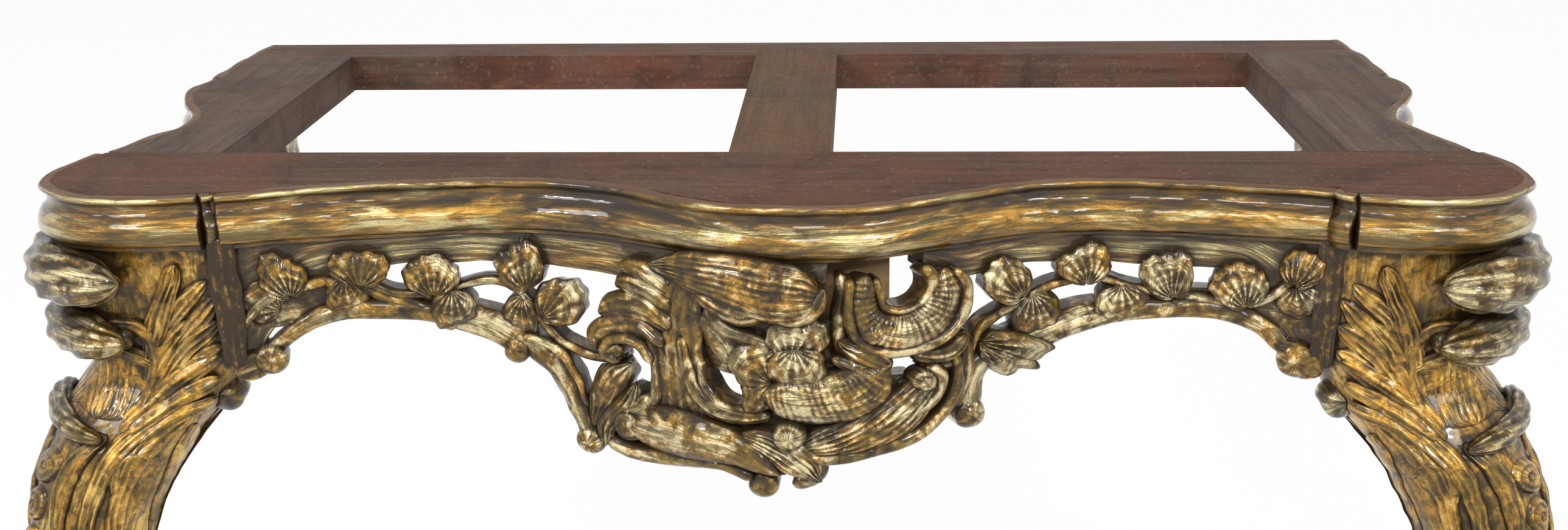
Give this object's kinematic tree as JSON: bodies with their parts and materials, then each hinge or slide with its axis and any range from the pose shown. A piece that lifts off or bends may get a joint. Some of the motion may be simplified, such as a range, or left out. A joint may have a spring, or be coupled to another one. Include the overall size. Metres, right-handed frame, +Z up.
{
  "type": "console table",
  "caption": "Giltwood wall console table frame with a serpentine moulded edge, a pierced carved apron and two cabriole legs.",
  "frame": {"origin": "centre of the bounding box's bottom, on the floor", "axes": "+X to the right across the front, +Y from the carved front to the back, +Z up"},
  "size_m": [1.5652, 0.763, 0.87],
  "materials": {
    "rail_wood": "old bare wood, dark brown, dry and scratched",
    "crossbar_wood": "bare wood, olive brown, planed",
    "brace_wood": "bare pale wood, sawn",
    "gilt_moulding": "gilding over orange bole on wood, varnished, worn at the edges",
    "gilt_carving": "gilding on carved wood, glossy varnish, dark brown in the hollows",
    "gilt_leg": "gilding on carved wood, glossy ochre gold, dark brown in the hollows"
  },
  "bodies": {
    "root": {"front_rail": "rail_wood", "back_rail": "rail_wood", "side_rail_right": "rail_wood", "side_rail_left": "rail_wood", "centre_crossbar": "crossbar_wood", "moulding_front": "gilt_moulding", "moulding_corner_right": "gilt_moulding", "moulding_corner_left": "gilt_moulding", "moulding_side_right": "gilt_moulding", "moulding_side_left": "gilt_moulding", "moulding_rear_right": "gilt_moulding", "moulding_rear_left": "gilt_moulding", "leg_front_right": "gilt_leg", "leg_front_left": "gilt_leg", "rear_bracket_right": "gilt_carving", "rear_bracket_left": "gilt_carving", "cartouche": "gilt_carving", "vine_apron_left": "gilt_carving", "vine_apron_right": "gilt_carving", "centre_brace": "brace_wood", "side_apron_right": "gilt_carving", "side_apron_left": "gilt_carving", "rear_frieze_right": "gilt_carving", "rear_frieze_left": "gilt_carving", "glue_blocks": "brace_wood"}
  },
  "joints": []
}
